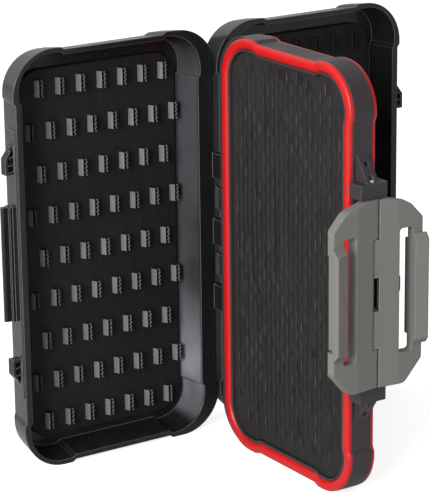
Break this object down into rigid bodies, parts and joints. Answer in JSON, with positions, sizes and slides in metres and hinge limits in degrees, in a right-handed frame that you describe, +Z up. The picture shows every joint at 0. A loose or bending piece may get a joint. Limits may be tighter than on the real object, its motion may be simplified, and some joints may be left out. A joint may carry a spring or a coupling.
{
  "type": "swing-leaf jig box",
  "caption": "Upright waterproof lure case: a foam-faced swing leaf between two hinged black covers with holder mats, red gaskets, and two grey slotted catches.",
  "frame": {"origin": "under the middle of the opened box, on the surface it stands on", "axes": "+Z up along both hinge pins; the leaf points from the spine along +X; the front cover lies along -Y and the back cover along +Y"},
  "size_m": [0.1411, 0.2136, 0.19],
  "materials": {
    "shell_black": "glossy black moulded",
    "leaf_black": "satin black moulded",
    "gasket_red": "satin red",
    "foam_charcoal": "matte closed-cell foam, scored",
    "holder_black": "satin black, soft moulded",
    "catch_grey": "satin warm grey moulded",
    "pin_steel": "drawn rod",
    "adhesive": "double-sided tape"
  },
  "bodies": {
    "leaf": {"leaf_frame": "leaf_black", "front_gasket": "gasket_red", "back_gasket": "gasket_red", "front_leaf_foam": "foam_charcoal", "back_leaf_foam": "foam_charcoal", "front_leaf_adhesive": "adhesive", "back_leaf_adhesive": "adhesive", "spine_pin": "pin_steel", "catch_pin": "pin_steel"},
    "front_cover": {"front_cover_shell": "shell_black", "front_holder_mat": "holder_black", "front_mat_adhesive": "adhesive"},
    "back_cover": {"back_cover_shell": "shell_black", "back_holder_mat": "holder_black", "back_mat_adhesive": "adhesive"},
    "front_catch": {"front_catch": "catch_grey"},
    "back_catch": {"back_catch": "catch_grey"}
  },
  "joints": [
    {"name": "front_cover_hinge", "type": "hinge", "parent": "leaf", "child": "front_cover", "pos_m": [-0.04684, 0, 0.095], "axis": [0, 0, 1], "range_deg": [0, 90]},
    {"name": "back_cover_hinge", "type": "hinge", "parent": "leaf", "child": "back_cover", "pos_m": [-0.04684, 0, 0.095], "axis": [0, 0, -1], "range_deg": [0, 90]},
    {"name": "front_catch_hinge", "type": "hinge", "parent": "leaf", "child": "front_catch", "pos_m": [0.06156, 0, 0.095], "axis": [0, 0, 1], "range_deg": [-8, 19.5]},
    {"name": "back_catch_hinge", "type": "hinge", "parent": "leaf", "child": "back_catch", "pos_m": [0.06156, 0, 0.095], "axis": [0, 0, -1], "range_deg": [-8, 19.5]}
  ]
}
